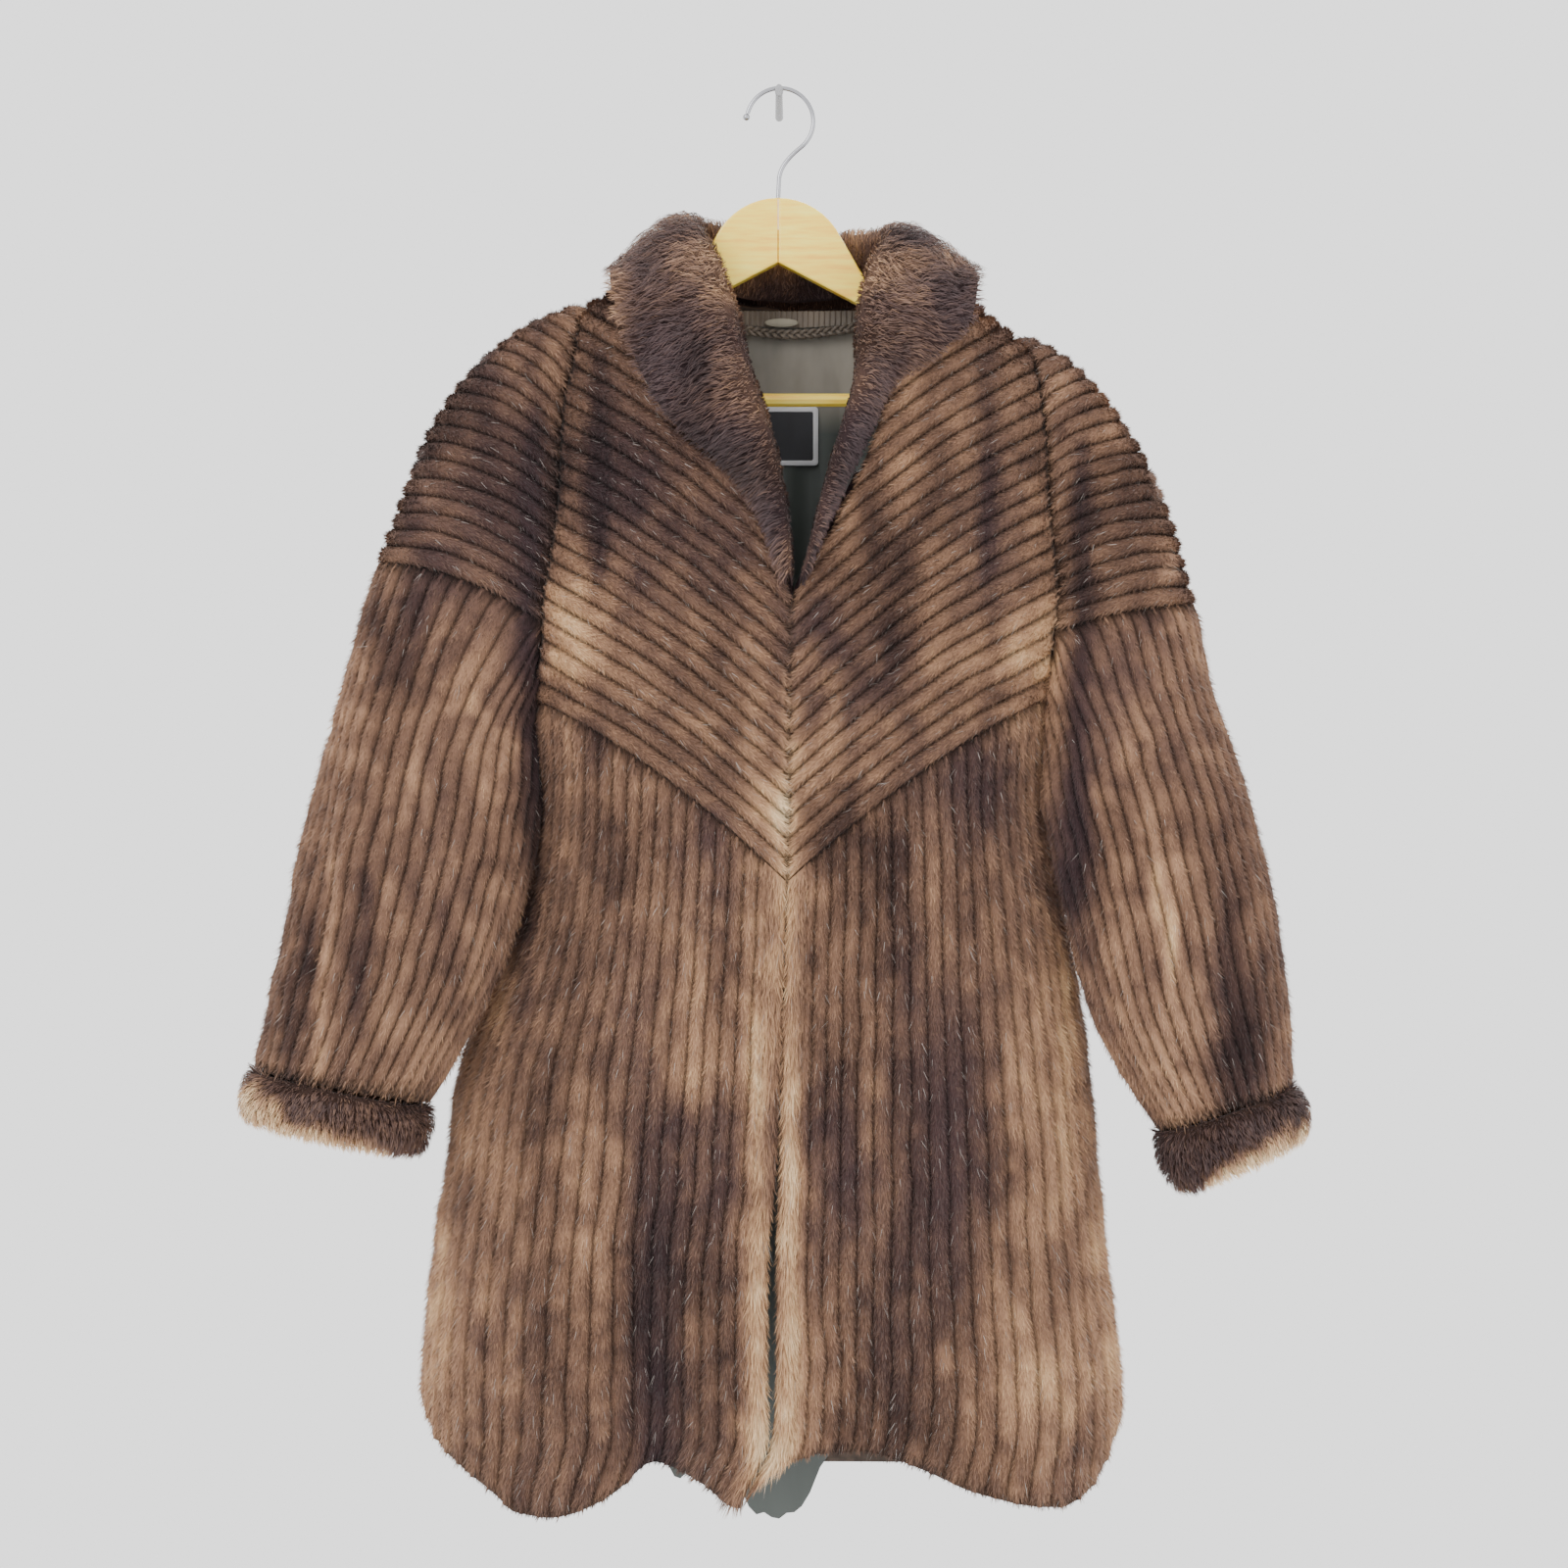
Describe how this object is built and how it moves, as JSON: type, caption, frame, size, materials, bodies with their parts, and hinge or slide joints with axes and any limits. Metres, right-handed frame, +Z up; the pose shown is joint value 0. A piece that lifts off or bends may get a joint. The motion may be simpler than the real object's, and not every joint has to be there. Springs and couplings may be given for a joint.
{
  "type": "fur coat on a wooden hanger",
  "caption": "Long-sleeved corded fur coat with a long-haired shawl collar and cuffs, open at the front, on a wooden hanger whose wire hook rests on a wall peg.",
  "frame": {"origin": "where the wire hook of the hanger rests on the wall peg", "axes": "+Z up, +Y into the wall, +X to the right of someone who looks at the coat's front"},
  "size_m": [0.7836, 0.1732, 1.0795],
  "materials": {
    "corded_fur": "sheared brown mink pile raised in rounded cords, soft and matt with a low sheen",
    "long_fur": "long fluffy mink hair, dark brown to cream at the tips",
    "facing_fur": "dark brown mink pile",
    "satin": "olive brown satin with a soft shine",
    "label": "plain woven label, dark with a silvery border",
    "wood": "pale varnished beech",
    "chrome": "bright wire",
    "peg": "grey satin paint"
  },
  "bodies": {
    "root": {"front_yoke_left": "corded_fur", "front_yoke_right": "corded_fur", "back_yoke_left": "corded_fur", "back_yoke_right": "corded_fur", "front_skirt_left": "corded_fur", "front_skirt_right": "corded_fur", "back_skirt": "corded_fur", "sleeve_cap_left": "corded_fur", "sleeve_cap_right": "corded_fur", "sleeve_lower_left": "corded_fur", "sleeve_lower_right": "corded_fur", "cuff_left": "long_fur", "cuff_right": "long_fur", "collar": "long_fur", "front_facing_left": "facing_fur", "front_facing_right": "facing_fur", "lining_back": "satin", "neck_strip": "satin", "neck_braid": "satin", "hanging_tab": "satin", "label": "label", "hanger_arm_left": "wood", "hanger_arm_right": "wood", "trouser_bar": "wood", "hook": "chrome", "hook_ball": "chrome", "wall_peg": "peg"}
  },
  "joints": []
}
